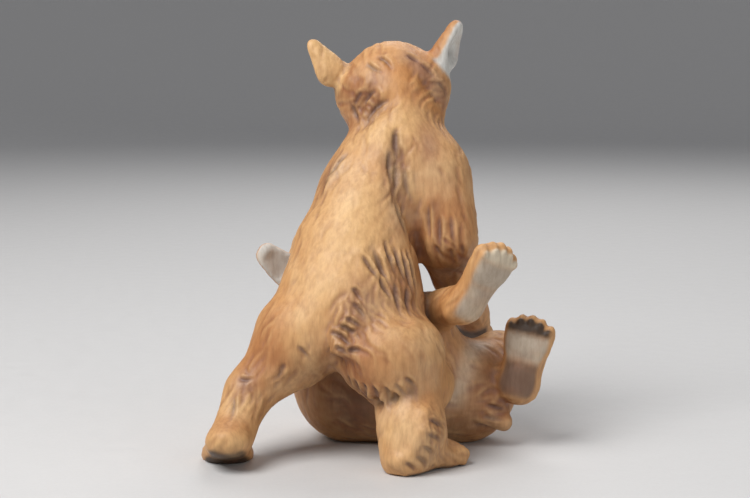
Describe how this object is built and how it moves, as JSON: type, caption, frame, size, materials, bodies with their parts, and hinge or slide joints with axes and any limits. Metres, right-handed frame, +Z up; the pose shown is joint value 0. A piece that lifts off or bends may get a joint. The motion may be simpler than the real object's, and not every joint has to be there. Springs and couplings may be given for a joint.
{
  "type": "porcelain bear figurine",
  "caption": "Matte porcelain figure group of brown bear cubs at play, one rearing over the other, which lies on its back.",
  "frame": {"origin": "middle of the group's bounding box on the plane it stands on", "axes": "+Z up; +Y is the way the rearing cub faces, so its back is seen when looking along +Y; the lying cub's rump is towards +X"},
  "size_m": [0.098, 0.0788, 0.1197],
  "materials": {
    "painted_porcelain": "matte"
  },
  "bodies": {
    "root": {"bear_cubs": "painted_porcelain"}
  },
  "joints": []
}
